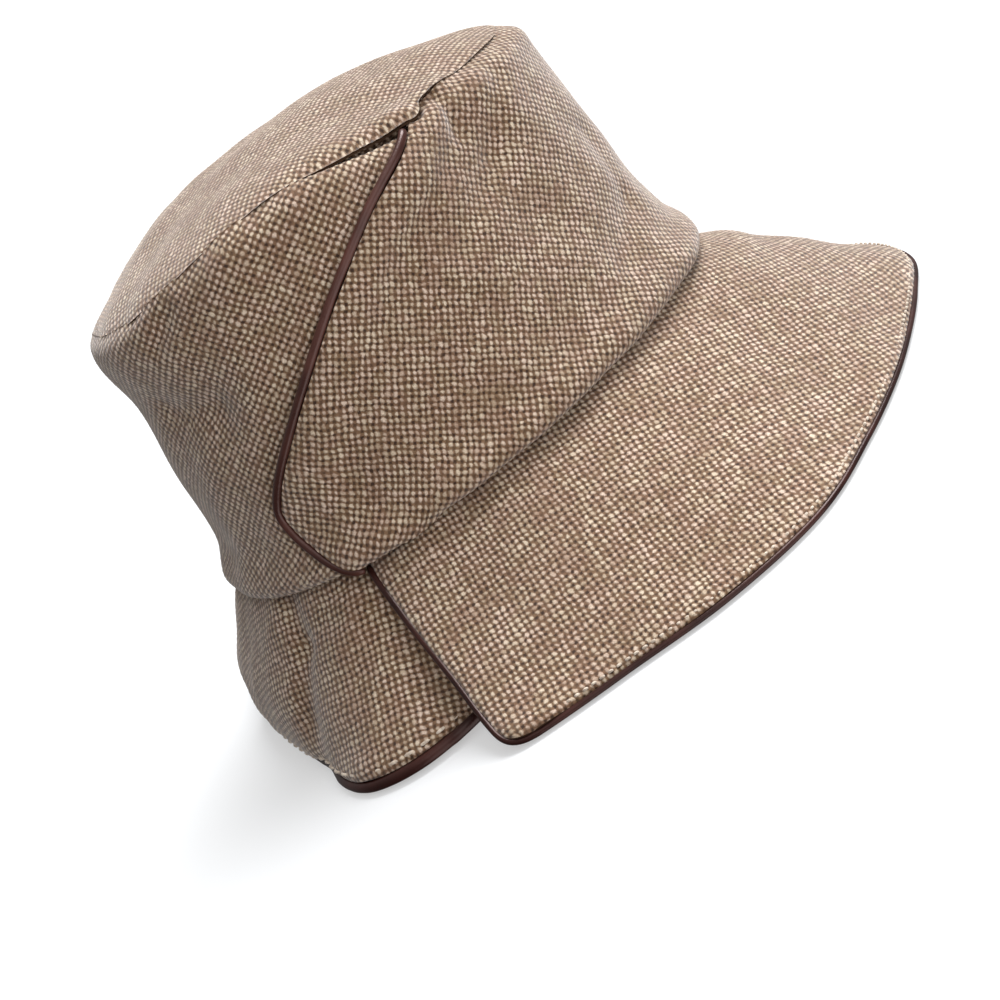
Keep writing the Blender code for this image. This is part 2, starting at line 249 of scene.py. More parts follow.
# The seam between tip and crown at each angle, in tenths of a millimetre: how far the tip's
# cloth and the wall puff out and tuck in beside it, and how far the tip's edge hangs and stands
# off; then the same in metres
SEAM_TENTHS = (
    (-180, 3, 1, 3, 2, 7, 1), (-96, 4, 1, 3, 2, 7, 1), (-80, 10, 2, 2, 8, 18, 14),
    (-68, 10, 2, 2, 10, 22, 8), (-56, 3, 1, 2, 2, 10, 3), (0, 2, 1, 1, 1, 7, 1),
    (54, 3, 1, 1, 1, 7, 1), (61, 3, 1, 1, 1, 7, 1), (64.5, 7, 4, 0, 12, 9, 2),
    (66.8, 14, 12, 0, 30, 24, 8), (69, 18, 18, 0, 38, 28, 14), (71.5, 20, 18, 0, 38, 21, 17),
    (75, 20, 18, 0, 36, 14, 17), (80, 18, 16, 0, 32, 11, 16), (90, 14, 12, 0, 24, 12, 12),
    (98, 8, 4, 2, 8, 9, 5), (104, 5, 1, 3, 2, 7, 1), (144, 5, 1, 3, 2, 7, 1),
    (151, 6, 4, 3, 8, 8, 6), (158, 5, 2, 3, 3, 7, 1), (180, 3, 1, 3, 2, 7, 1),
)
SEAM_ROLLS = named_rows(
    "angle tip_puff tip_tuck wall_puff wall_tuck hang lift",
    *((angle, *(tenths / 10000 for tenths in sizes)) for angle, *sizes in SEAM_TENTHS),
)
SEAM_ROLL_WIDTH = 0.0070
TIP_LAP_RELEASE = 1.5

# How close to the tip's edge the hanging begins, as a power, and how far below the edge the wall's
# hollow stays deep and ends
HANG_POWER = 11.0
HOLLOW_BELOW = 0.0006
HOLLOW_WIDTH = 0.0022

# Cloth thins towards a sewn seam: the share of its thickness left there, over what width, where,
# and the lift of the tip's edge that would leave one whole thickness more
SEWN_SHARE = 0.12
SEWN_WIDTH = 0.0060
SEWN_ROLLS = ("tip", "wall", CROWN_FOOT, BACK_FOOT)
LIP_LIFT = 0.0045

# Soft creases: two ends, each an angle and a level, with the half width and depth in metres
CREASE_ROW = "angle level end_angle end_level half_width depth"
CROWN_CREASES = named_rows(
    CREASE_ROW,
    (44, 0.92, 58.5, 0.74, 0.0045, 0.0013),
    (58.5, 0.74, 79, 0.59, 0.005, 0.0011),
    (25, 0.55, 31, 0.32, 0.006, 0.001),
    (31, 0.32, 50, 0.2, 0.006, 0.0009),
    (60.5, 0.98, 62.5, 0.86, 0.003, 0.0014),
    (-52, 0.8, -74, 0.58, 0.006, 0.0012),
    (-20, 0.45, -38, 0.25, 0.006, 0.0009),
)
BACK_CREASES = named_rows(
    CREASE_ROW,
    (138, 0.95, 147, 0.88, 0.0035, 0.001),
    (146, 0.62, 163, 0.68, 0.006, 0.0016),
    (205, 0.85, 222, 0.55, 0.006, 0.0012),
)
BRIM_CREASES = named_rows(
    CREASE_ROW,
    (157.5, 0, 153.5, 0.3, 0.005, 0.0018),
    (153.5, 0.3, 156.5, 0.7, 0.0055, 0.0018),
)


def reading(table, column, place):
    """A smooth curve through one column of a table, read at places along its first column."""
    keys = np.array([row[0] for row in table])
    values = np.array([getattr(row, column) for row in table])
    place = np.clip(place, keys[0], keys[-1])
    i = np.clip(np.searchsorted(keys, place, "right") - 1, 0, len(keys) - 2)
    slopes = np.empty(len(keys))
    slopes[1:-1] = (values[2:] - values[:-2]) / (keys[2:] - keys[:-2])
    slopes[0] = (values[1] - values[0]) / (keys[1] - keys[0])
    slopes[-1] = (values[-1] - values[-2]) / (keys[-1] - keys[-2])
    span = keys[i + 1] - keys[i]
    t = (place - keys[i]) / span
    bend_in = slopes[i] * span
    bend_out = slopes[i + 1] * span
    rise = values[i + 1] - values[i]
    return values[i] + t * (
        bend_in + t * (3 * rise - 2 * bend_in - bend_out + t * (bend_in + bend_out - 2 * rise))
    )


def wrapped(angle):
    """The same direction as an angle from -180 to 180."""
    return (angle + 180) % 360 - 180


def eased(t):
    """0 to 1 with no corner at either end."""
    t = np.clip(t, 0.0, 1.0)
    return t * t * (3 - 2 * t)


def points_of(x, y, z):
    return np.stack(np.broadcast_arrays(x, y, z), axis=-1)


def unit(vectors):
    return vectors / np.linalg.norm(vectors, axis=-1, keepdims=True)


def steps_along(points, axis=0):
    """The distances from each point to the next."""
    return np.linalg.norm(np.diff(points, axis=axis), axis=-1)


def dented(dents, angle, level):
    """How far inward the dents push the cloth."""
    depth = 0.0
    for dent in dents:
        across = wrapped(angle - dent.angle) / dent.half_angle
        along = (level - dent.level) / dent.half_level
        depth = depth + DENT * dent.depth * np.exp(-DENT_FADE * (across**2 + along**2))
    return depth


def crown_ring(angle, level):
    """The crown's outer surface in plan, before dents: an egg-shaped ring."""
    front, back, side = (
        (opening + (tip - opening) * reading(CROWN_RINGS, column, level)) / 2
        for opening, tip, column in (
            (OPENING_LENGTH, TIP_LENGTH, "front"),
            (OPENING_LENGTH, TIP_LENGTH, "back"),
            (OPENING_WIDTH, TIP_WIDTH, "side"),
        )
    )
    forward = np.cos(np.radians(angle))
    sideways = np.sin(np.radians(angle))
    fuller = np.copysign(np.abs(sideways) ** FULLNESS, sideways)
    length = np.where(forward > 0, front, back)
    return points_of(-side * fuller * (1 - EGG * forward), -length * forward, 0.0)


def outward(ring, angle):
    """The level direction that points out of a ring."""
    along = ring(angle + ANGLE_STEP) - ring(angle - ANGLE_STEP)
    return unit(points_of(-along[..., 1], along[..., 0], 0.0))


def tip_seam_lift(angle):
    """How far the tip's seam is above its height at the front and back of the hat."""
    side = TIP_SIDE_LIFT * np.sin(np.radians(angle)) ** 2
    return side + CROWN_HEIGHT * reading(TIP_SEAM, "rise", wrapped(angle))


def facing(place, angle, level, low=0.0, upward=False):
    """The direction that a surface faces, away from the hat's inside."""
    across = place(angle + ANGLE_STEP, level) - place(angle - ANGLE_STEP, level)
    above = np.minimum(level + LEVEL_STEP, 1.0)
    below = np.maximum(level - LEVEL_STEP, low)
    normal = unit(np.cross(across, place(angle, above) - place(angle, below)))
    point = place(angle, level)
    away = normal[..., 2] if upward else (normal[..., :2] * point[..., :2]).sum(-1)
    return normal * np.where(away > 0, 1.0, -1.0)[..., None]


def crown_surface(angle, level):
    """The crown's outer surface."""
    away = outward(lambda turn: crown_ring(turn, level), angle)
    point = crown_ring(angle, level) - away * dented(CROWN_DENTS, angle, level)[..., None]
    point[..., 2] = SEAM_HEIGHT + GAP + level * CROWN_HEIGHT + level**2 * tip_seam_lift(angle)
    return point


def crown_edge(level):
    """Where the front panel ends, as an angle."""
    return reading(CROWN_EDGE, "angle", level)


def brim_edge(share):
    """Where the front brim ends, as an angle."""
    return reading(BRIM_EDGE, "angle", np.maximum(share, 0.0))


def angle_of(distance):
    """The angle that a distance takes up along the head opening, about."""
    return degrees(distance / ((OPENING_LENGTH + OPENING_WIDTH) / 4))


def front_lap(angle, level):
    """How high the front panel rides over the back one, and how many laps inside its edge it is."""
    inside = (crown_edge(level) - np.abs(wrapped(angle))) / angle_of(CROWN_OVERLAP)
    return (CROWN_CLOTH + LAP_GAP) * (1 - eased((inside - LAP_HELD) / LAP_RELEASE)), inside


def front_panel(angle, level):
    over, _ = front_lap(angle, level)
    return crown_surface(angle, level) + facing(crown_surface, angle, level) * over[..., None]


def seam_ring(angle):
    """Where the brim's outer surface comes out from under the crown, in plan."""
    away = outward(lambda turn: crown_ring(turn, np.zeros_like(turn)), angle)
    return crown_ring(angle, np.zeros_like(angle)) - away * (CROWN_CLOTH + SEAM_GAP)


def brim_surface(sections, brim_reach, angle, share, out):
    """The brim's outer surface: share 0 is the seam, 1 the rim, -1 the top of the collar."""
    side = np.abs(wrapped(angle))
    away = outward(seam_ring, angle)
    low = np.maximum(share, 0.0)
    drop = SEAM_HEIGHT - RIM_HEIGHT
    curve = 4 * low * (1 - low)
    reach, bulge, flare, lift = (
        reading(sections, column, side) for column in ("reach", "bulge", "flare", "lift")
    )
    push = brim_reach * reach * low + drop * bulge * curve * (HIGH_BULGE + LOW_BULGE * low)
    push = push + out - dented(BRIM_DENTS, angle, low) * low
    fall = drop * (low * (1 - lift) + flare * curve / 4)
    point = seam_ring(angle) + away * push[..., None]
    point[..., 2] = SEAM_HEIGHT - fall
    level = np.full_like(low, COLLAR / CROWN_HEIGHT)
    top = crown_surface(angle, level)
    top = top - facing(crown_surface, angle, level) * (CROWN_CLOTH + SEAM_GAP)
    top = top + away * np.broadcast_to(out, low.shape)[..., None]
    up = np.clip(-share, 0.0, 1.0)[..., None]
    return point * (1 - up) + top * up


def front_brim(angle, share):
    reach = BRIM_REACH + BRIM_EXTRA
    return brim_surface(FRONT_SECTIONS, reach, angle, share, np.zeros_like(share))


def back_brim(angle, share):
    """The back brim drops in under the front brim where the two overlap."""
    past = (np.abs(wrapped(angle)) - brim_edge(share)) / TUCK_RELEASE
    under = (BRIM_CLOTH + LAP_GAP) * TUCK * (1 - eased(past))
    return brim_surface(BACK_SECTIONS, BRIM_BACK_REACH, angle, share, -under)


def tip_edge(angle):
    """The tip's edge carries on from the top of the crown's wall, just clear of it."""
    level = np.ones_like(angle)
    top = crown_surface(angle, level)
    along = unit(top - crown_surface(angle, level - LEVEL_STEP))
    return top + along * TIP_GAP


def tip_hang(angle):
    """How far the tip's edge moves from its seam where it hangs out over the crown's wall."""
    level = np.ones_like(angle)
    hang, lift = (
        np.maximum(reading(SEAM_ROLLS, column, wrapped(angle)), 0.0) for column in ("hang", "lift")
    )
    over, inside = front_lap(angle, level)
    lift = lift + over * (1 - eased(-inside / TIP_LAP_RELEASE))
    lower = level - hang / CROWN_HEIGHT
    out = facing(crown_surface, angle, lower)
    return crown_surface(angle, lower) + out * lift[..., None] - crown_surface(angle, level)


def tip_surface(angle, share):
    """The domed tip: share 0 is its middle, 1 its edge."""
    edge = tip_edge(angle)
    flat = SEAM_HEIGHT + GAP + CROWN_HEIGHT
    height = flat + (edge[..., 2] - flat) * share**SEAM_POWER
    height = height + TIP_RISE * (1 - share**DOME_POWER)
    place = points_of(edge[..., 0] * share, edge[..., 1] * share, height)
    return place + tip_hang(angle) * (share**HANG_POWER)[..., None]


def rolled(distance, puff, width, tuck):
    """How far cloth stands out at a distance from an edge that it rolls over towards."""
    near = distance / width
    return puff * near * np.exp(1 - near) - tuck * np.exp(-distance / TUCK_WIDTH)


def edge_height(roll, distance, turn):
    """The rolled height beside an edge; roll is an EdgeRoll or a side of the seam's table."""
    if isinstance(roll, EdgeRoll):
        return rolled(distance, roll.puff, roll.width, roll.tuck)
    columns = (roll + "_puff", roll + "_tuck", "hang")
    puff, tuck, hang = (reading(SEAM_ROLLS, column, wrapped(turn)) for column in columns)
    if roll == "tip":
        return rolled(distance, puff, SEAM_ROLL_WIDTH, tuck)
    below = distance - hang - HOLLOW_BELOW
    return rolled(distance, puff, SEAM_ROLL_WIDTH, 0.0) - tuck * (1 - eased(below / HOLLOW_WIDTH))


def creased(panel, creases, spots):
    """How far the soft creases push the cloth in, at spots of the flat cloth."""
    depth = np.zeros(len(spots))
    for crease in creases:
        ends = panel.to_flat(
            np.array([crease.angle, crease.end_angle]), np.array([crease.level, crease.end_level])
        )
        start, end = np.array(ends).T
        side = end - start
        share = np.clip(((spots - start) * side).sum(1) / (side * side).sum(), 0, 1)
        away = np.linalg.norm(spots - start - side * share[:, None], axis=1) * PITCH
        depth += crease.depth * np.exp(-(away / crease.half_width) ** 2)
    return depth


def spaced(place, turn, level, step):
    """Turns and levels along a path, evenly spaced by length."""
    points = place(turn, level)
    length = np.concatenate([[0], np.cumsum(steps_along(points))])
    at = np.linspace(0, length[-1], max(round(length[-1] / step), 2) + 1)
    return np.interp(at, length, turn), np.interp(at, length, level)


class Flat:
    """Cloth laid flat, by a table of lengths up its surface: turns by levels."""

    def measure(self, turns):
        """Fill the table, and give the grid of points that it is measured on."""
        self.turns = turns
        levels = np.linspace(self.low, 1, FLAT_ROWS)
        points = self.place(*np.meshgrid(turns, levels, indexing="ij"))
        up = np.cumsum(steps_along(points, 1), axis=1)
        self.rise = np.concatenate([np.zeros((FLAT_COLUMNS, 1)), up], axis=1)
        return points

    def column_at(self, turn):
        """The table's column at a turn, and the share of the way to the next one."""
        column = np.interp(turn, self.turns, np.arange(FLAT_COLUMNS))
        column = np.clip(column, 0, FLAT_COLUMNS - SHORT_OF_END)
        i = column.astype(int)
        return i, column - i

    def rise_at(self, turn, level):
        """Length up the surface at a turn and level."""
        row = (level - self.low) / (1 - self.low) * (FLAT_ROWS - 1)
        row = np.clip(row, 0, FLAT_ROWS - SHORT_OF_END)
        i, a = self.column_at(turn)
        j = row.astype(int)
        b = row - j
        near = self.rise[i, j] * (1 - b) + self.rise[i, j + 1] * b
        far = self.rise[i + 1, j] * (1 - b) + self.rise[i + 1, j + 1] * b
        return near * (1 - a) + far * a

    def level_at(self, turn, rise):
        """The level at a turn and a length up the surface."""
        i, a = self.column_at(turn)
        a = a[:, None]
        rows = self.rise[i] * (1 - a) + self.rise[i + 1] * a
        j = np.clip((rows < rise[:, None]).sum(1) - 1, 0, FLAT_ROWS - 2)
        each = np.arange(len(j))
        part = (rise - rows[each, j]) / (rows[each, j + 1] - rows[each, j])
        return self.low + (j + part) / (FLAT_ROWS - 1) * (1 - self.low)


class Panel(Flat):
    """A panel that bends round the hat, and the flat cloth that it is cut from, in threads.

    The weave lies weave_turn degrees from the level at weave_at degrees round the hat, and hand
    -1 mirrors it. The flat cloth keeps the share called spread of the panel's bend, and is
    packed closer along the panel where its easing at a turn is above 1.
    """

    def __init__(self, name, place, ends, low, weave_turn, weave_at, hand, spread=1.0, easing=()):
        self.name = name
        self.place = place
        self.ends = ends
        self.low = low
        self.turn = radians(weave_turn)
        self.hand = hand
        start, end = ends(np.linspace(low, 1, FLAT_ROWS))
        points = self.measure(np.linspace(start.min() - OVERHANG, end.max() + OVERHANG, FLAT_COLUMNS))
        rings = steps_along(points)
        if easing:
            rings = rings * np.interp(self.turns[1:], *zip(*easing))[:, None]
        lengths = rings.sum(0)
        middle = FLAT_ROWS // 2
        self.mean_rise = self.rise[:, middle].mean()
        self.along = np.concatenate([[0], np.cumsum(rings[:, middle])])
        self.along -= np.interp(weave_at, self.turns, self.along)
        quarter, high = FLAT_ROWS // 4, 3 * FLAT_ROWS // 4
        apart = self.rise[:, high].mean() - self.rise[:, quarter].mean()
        self.growth = spread * (lengths[high] - lengths[quarter]) / (lengths[middle] * apart)

    def to_flat(self, turn, level):
        """Where a place on the panel lies on the flat cloth, in threads."""
        swing = self.growth * np.interp(turn, self.turns, self.along)
        radius = 1 / self.growth + self.rise_at(turn, level) - self.mean_rise
        x, y = radius * np.sin(swing), radius * np.cos(swing) - 1 / self.growth
        c, s = cos(self.turn), sin(self.turn)
        return self.hand * (x * c + y * s) / PITCH, (y * c - x * s) / PITCH

    def from_flat(self, u, v):
        """The place on the panel of a point of the flat cloth, and whether it is on it."""
        c, s = cos(self.turn), sin(self.turn)
        u = self.hand * u
        x, y = (u * c - v * s) * PITCH, (u * s + v * c) * PITCH
        sign = copysign(1, self.growth)
        middle = y + 1 / self.growth
        swing = np.arctan2(sign * x, sign * middle)
        rise = sign * np.hypot(x, middle) - 1 / self.growth + self.mean_rise
        distance = swing / self.growth
        turn = np.interp(distance, self.along, self.turns)
        level = self.level_at(turn, rise)
        start, end = self.ends(np.clip(level, self.low, 1))
        on = (level > self.low) & (level < 1) & (turn > start) & (turn < end)
        on &= (distance > self.along[0]) & (distance < self.along[-1])
        return turn, level, on

    def outline(self):
        """The panel's edges in order, each a name with its turns and levels."""
        fine = np.linspace(self.low, 1, SIDE_POINTS)
        start, end = self.ends(fine)
        edges = []
        for name, turn, level in (
            ("bottom", np.linspace(start[0], end[0], LONG_POINTS), np.full(LONG_POINTS, self.low)),
            ("end", end, fine),
            ("top", np.linspace(end[-1], start[-1], LONG_POINTS), np.ones(LONG_POINTS)),
            ("start", start[::-1], fine[::-1]),
        ):
            turn, level = spaced(self.place, turn, level, EDGE_STEP)
            edges.append((name, turn[:-1], level[:-1]))
        return edges

    def facing(self, turn, level):
        return facing(self.place, turn, level, self.low)


class Tip(Flat):
    """The oval tip, laid flat from its middle outward."""

    def __init__(self, name, weave_turn):
        self.name = name
        self.place = tip_surface
        self.low = 0.0
        self.turn = radians(weave_turn)
        edge = self.measure(np.linspace(-180, 180, FLAT_COLUMNS))[:, -1]
        self.bearing = np.unwrap(np.arctan2(edge[:, 1], edge[:, 0]))

    def to_flat(self, turn, level):
        bearing = np.interp(turn, self.turns, self.bearing) - self.turn
        radius = self.rise_at(turn, level)
        return radius * np.cos(bearing) / PITCH, radius * np.sin(bearing) / PITCH

    def from_flat(self, u, v):
        radius = np.hypot(u, v) * PITCH
        bearing = np.arctan2(v, u) + self.turn
        low = min(self.bearing[0], self.bearing[-1])
        bearing = (bearing - low) % (2 * pi) + low
        order = np.argsort(self.bearing)
        turn = np.interp(bearing, self.bearing[order], self.turns[order])
        level = self.level_at(turn, radius)
        return turn, np.maximum(level, TIP_MIDDLE), level < 1

    def outline(self):
        turn = np.linspace(-180, 180, TIP_POINTS)
        turn, level = spaced(self.place, turn, np.ones_like(turn), EDGE_STEP)
        return [("rim", turn[:-1], level[:-1])]

    def facing(self, turn, level):
        return facing(self.place, turn, level, TIP_MIDDLE, upward=True)


def distances(line, spots, closed):
    """How far each spot of the flat cloth is from a line of points, in metres."""
    tree = kdtree.KDTree(len(line))
    for i, (u, v) in enumerate(line):
        tree.insert((u, v, 0.0), i)
    tree.balance()
    nearest = np.array([tree.find((u, v, 0.0))[1] for u, v in spots])
    found = np.full(len(spots), np.inf)
    for step in (-1, 1):
        corner = line[nearest]
        other = (nearest + step) % len(line) if closed else np.clip(nearest + step, 0, len(line) - 1)
        side = line[other] - corner
        share = ((spots - corner) * side).sum(1) / np.maximum((side * side).sum(1), TINY)
        foot = corner + side * np.clip(share, 0, 1)[:, None]
        found = np.minimum(found, np.linalg.norm(spots - foot, axis=1))
    return found * PITCH


def surrounded(outline, spots):
    """Whether each spot is inside a closed outline."""
    after = np.roll(outline, -1, axis=0)
    x, y = spots[:, :1], spots[:, 1:]
    crossing = (outline[:, 1] > y) != (after[:, 1] > y)
    rise = after[:, 1] - outline[:, 1]
    rise = np.where(np.abs(rise) < TINY, TINY, rise)
    at = outline[:, 0] + (y - outline[:, 1]) / rise * (after[:, 0] - outline[:, 0])
    return (crossing & (x < at)).sum(1) % 2 == 1


def lattice(low, high, step, first):
    """Points of a square lattice between two corners."""
    counts = np.ceil((high - low) / step).astype(int) + 3
    u, v = (np.floor(low[k]) + first + step * np.arange(counts[k]) for k in (0, 1))
    grid = np.meshgrid(u, v, indexing="ij")
    return grid[0].ravel(), grid[1].ravel()


def waves(u, v, seed):
    """Slow uneven waves of the cloth, in metres."""
    draw = np.random.default_rng(seed)
    height = np.zeros_like(u)
    for _ in range(WAVES):
        heading = draw.uniform(0, 2 * pi)
        length = draw.uniform(*WAVE_LENGTHS) / PITCH
        phase = draw.uniform(0, 2 * pi)
        swing = (u * cos(heading) + v * sin(heading)) * 2 * pi / length
        height += WAVE_HEIGHT * np.sin(swing + phase)
    return height


def weave_height(u, v):
    """How far the threads stand out: most at the middle of each square of the weave."""
    draw = np.random.default_rng(UNEVEN_SEED)
    uneven = draw.uniform(1 - UNEVEN, 1, (UNEVEN_CELLS, UNEVEN_CELLS))
    cell = uneven[np.floor(u).astype(int) % UNEVEN_CELLS, np.floor(v).astype(int) % UNEVEN_CELLS]
    swell = -(np.cos(2 * pi * u) + np.cos(2 * pi * v)) / 2
    return WEAVE_RELIEF * swell * cell


class Graph:
    """The nodes of a material or of the world, made with few words."""

    def __init__(self, owner, shader="Principled BSDF"):
        owner.use_nodes = True
        self.owner = owner
        self.tree = owner.node_tree
        self.shader = self.tree.nodes[shader]

    def feed(self, socket, value):
        if isinstance(value, bpy.types.NodeSocket):
            self.tree.links.new(value, socket)
        else:
            socket.default_value = value

    def fill(self, node, **inputs):
        """Feed a node's inputs by name."""
        for name, value in inputs.items():
            self.feed(node.inputs[name.replace("_", " ")], value)
        return node

    def finish(self, **inputs):
        """Feed the shader's inputs, and give back the material or world."""
        self.fill(self.shader, **inputs)
        return self.owner

    def node(self, kind, settings=(), **inputs):
        node = self.tree.nodes.new("ShaderNode" + kind)
        for key, value in dict(settings).items():
            setattr(node, key, value)
        return self.fill(node, **inputs)

    def maths(self, operation, *values, kind="Math"):
        node = self.node(kind, {"operation": operation})
        for socket, value in zip(node.inputs, values):
            self.feed(socket, value)
        return node.outputs[0]

    def vector(self, operation, *values):
        return self.maths(operation, *values, kind="VectorMath")

    def scaled(self, value, by, plus):
        return self.maths("MULTIPLY_ADD", value, by, plus)

    def smooth(self, value, low, high):
        settings = {"interpolation_type": "SMOOTHSTEP"}
        return self.node("MapRange", settings, Value=value, From_Min=low, From_Max=high).outputs[0]

    def mix(self, share, a, b, blend="MIX"):
        node = self.node("Mix", {"data_type": "RGBA", "blend_type": blend})
        self.feed(node.inputs[0], share)
        self.feed(node.inputs[6], a)
        self.feed(node.inputs[7], b)
        return node.outputs[2]

    def noise(self, vector, scale, detail=2.0, output=0, dimensions="2D"):
        settings = {"noise_dimensions": dimensions}
        node = self.node("TexNoise", settings, Vector=vector, Scale=scale, Detail=detail)
        return node.outputs[output]


# The tweed's colours: its flecks, from cream to fawn, the ground between them, from brown to the
# dark of the hollows at the corners of the weave, which is dark yarn with painted shade, and two
# faint tints
CREAM = (0.69, 0.562, 0.444, 1)
FAWN = (0.40, 0.285, 0.200, 1)
GROUND = (0.194, 0.110, 0.061, 1)
# HOLLOW is the dark yarn in the weave's hollows, darkened further as painted shade
HOLLOW = (0.042, 0.019, 0.009, 1)
ROSY = (1.0, 0.945, 0.945, 1)
MOSSY = (0.99, 0.985, 0.925, 1)

# The flecks: how far their lattice wavers, their slant in degrees, their half sizes, how far each
# shifts, how ragged their rims are, and how slowly the streaks along the threads change
WAVER = 0.55
SLANT = 125.0
FLECK_LONG = 0.46
FLECK_WIDE = 0.37
SHIFT = 0.14
RAGGED = 0.9
STREAK = 0.17


def make_tweed():
    """Cream flecks on a brown ground, each fleck a slanted oval on a square of the weave, with
    painted shade in the hollows at the corners of the squares.
    """
    g = Graph(bpy.data.materials.new("tweed"))
    straight = g.node("UVMap", {"uv_map": "weave"}).outputs[0]
    waver = g.vector("SUBTRACT", g.noise(straight, 0.45, 1.0, output="Color"), (0.5, 0.5, 0.5))
    cells = g.vector("ADD", straight, g.vector("MULTIPLY", waver, (WAVER, WAVER, 0.0)))
    whole = g.vector("FLOOR", cells)
    u, v = g.node("SeparateXYZ", Vector=cells).outputs[:2]
    column, row = g.node("SeparateXYZ", Vector=whole).outputs[:2]
    x = g.maths("SUBTRACT", g.maths("FRACT", u), 0.5)
    y = g.maths("SUBTRACT", g.maths("FRACT", v), 0.5)

    # A fleck's oval, shifted and shrunk by chance, with a ragged rim
    chance = g.node("TexWhiteNoise", {"noise_dimensions": "2D"}, Vector=whole)
    shake = g.node("SeparateColor", Color=chance.outputs["Color"]).outputs
    off_x = g.scaled(shake[0], by=-SHIFT, plus=g.maths("ADD", x, SHIFT / 2))
    off_y = g.scaled(shake[1], by=-SHIFT, plus=g.maths("ADD", y, SHIFT / 2))
    c, s = cos(radians(SLANT)), sin(radians(SLANT))
    long = g.maths("ADD", g.maths("MULTIPLY", off_x, c), g.maths("MULTIPLY", off_y, s))
    wide = g.maths("SUBTRACT", g.maths("MULTIPLY", off_y, c), g.maths("MULTIPLY", off_x, s))
    squares = [
        g.maths("POWER", g.maths("ABSOLUTE", g.maths("DIVIDE", part, half)), 2.0)
        for part, half in ((long, FLECK_LONG), (wide, FLECK_WIDE))
    ]
    away = g.maths("SQRT", g.maths("ADD", *squares))
    away = g.maths("MULTIPLY", away, g.scaled(shake[2], by=0.40, plus=0.82))
    ragged = g.noise(cells, 2.6)
    away = g.scaled(ragged, by=RAGGED, plus=g.maths("SUBTRACT", away, RAGGED / 2))
    fleck = g.smooth(away, 1.09, 0.32)

    # How light a fleck is: streaks along both threads, each fleck's own chance, and slow patches
    streaks = []
    for along, across in (((column, 7.31), (v, STREAK)), ((u, STREAK), (row, 5.77))):
        where = g.node("CombineXYZ", X=g.maths("MULTIPLY", *along), Y=g.maths("MULTIPLY", *across))
        streaks.append(g.noise(where.outputs[0], 1.0))
    light = g.scaled(streaks[0], by=0.5, plus=g.maths("MULTIPLY", streaks[1], 0.5))
    light = g.scaled(chance.outputs["Value"], by=0.22, plus=light)
    light = g.scaled(g.noise(cells, 0.13), by=0.45, plus=light)
    colour = g.mix(g.smooth(light, 0.50, 1.09), FAWN, CREAM)
    tint = g.mix(g.smooth(g.noise(cells, 0.30, 1.0), 0.35, 0.65), ROSY, MOSSY)

    # The ground, with painted shade darkest in the hollows at the corners of the squares, where the
    # threads dip
    corner = g.maths("MINIMUM", g.maths("ABSOLUTE", x), g.maths("ABSOLUTE", y))
    depth = g.scaled(g.noise(cells, 0.8, 1.0), by=1.8, plus=-0.05)
    ground = g.mix(g.maths("MULTIPLY", g.smooth(corner, 0.12, 0.40), depth), GROUND, HOLLOW)
    surface = g.mix(1.0, g.mix(fleck, ground, colour), tint, "MULTIPLY")

    # Fibres over both
    fibre = g.noise(cells, 5.0, 3.0)
    level = g.scaled(g.smooth(fibre, 0.1, 0.9), by=0.5, plus=0.75)
    grey = g.node("CombineColor", Red=level, Green=level, Blue=level).outputs[0]
    raised = g.scaled(fibre, by=0.5, plus=fleck)
    bump = g.node("Bump", Strength=0.5, Distance=0.0003, Height=raised)
    return g.finish(
        Base_Color=g.mix(1.0, surface, grey, "MULTIPLY"), Normal=bump.outputs[0],
        Roughness=0.95, Specular_IOR_Level=0.2,
        Sheen_Weight=0.55, Sheen_Roughness=0.5, Sheen_Tint=(0.95, 0.92, 0.91, 1),
    )


def make_edge_painted_shade():
    """The cut edge of the tweed, painted dark brown as the shade under the tip's lip and in its
    seams, with no sheen.
    """
    g = Graph(bpy.data.materials.new("tweed_edge_painted_shade"))
    return g.finish(Base_Color=(0.055, 0.030, 0.018, 1), Roughness=1.0, Specular_IOR_Level=0.0)


def make_leather(name, dark, light, gloss):
    """Brown leather with a soft gloss and a fine grain, lighter and duller where it is worn."""
    g = Graph(bpy.data.materials.new(name))
    place = g.node("TexCoord").outputs["Object"]
    grain = g.noise(place, 900.0, 3.0, dimensions="3D")
    worn = g.smooth(g.noise(place, 60.0, dimensions="3D"), 0.35, 0.75)
    bump = g.node("Bump", Strength=0.35, Distance=0.0002, Height=grain)
    return g.finish(
        Base_Color=g.mix(worn, dark, light), Roughness=g.scaled(worn, by=0.10, plus=0.27),
        Normal=bump.outputs[0], Specular_IOR_Level=gloss, Specular_Tint=(1.0, 0.76, 0.70, 1),
    )


def make_thread():
    """Cream sewing thread."""
    g = Graph(bpy.data.materials.new("cream_thread"))
    twist = g.noise(g.node("TexCoord").outputs["Object"], 700.0, dimensions="3D")
    shade = g.mix(g.smooth(twist, 0.25, 0.75), (0.44, 0.34, 0.26, 1), (0.78, 0.66, 0.53, 1))
    return g.finish(Base_Color=shade, Roughness=0.85, Sheen_Weight=0.3)


tweed = make_tweed()
edge_painted_shade = make_edge_painted_shade()
leather = make_leather("piping_leather", (0.038, 0.011, 0.008, 1), (0.085, 0.027, 0.019, 1), 0.55)
# The rims' leather is a darker copy of the piping leather: painted shade, where the rims face down
# and away from the light
shade_painted_leather = make_leather("rim_shade_painted_leather", (0.018, 0.005, 0.004, 1), (0.044, 0.012, 0.009, 1), 0.35)
thread = make_thread()


def add_object(name, data):
    thing = bpy.data.objects.new(name, data)
    bpy.context.scene.collection.objects.link(thing)
    return thing


def add_mesh(name, places, faces, material):
    mesh = bpy.data.meshes.new(name)
    mesh.from_pydata(places.tolist(), [], faces)
    mesh.validate()
    mesh.shade_smooth()
    mesh.materials.append(material)
    return add_object(name, mesh)


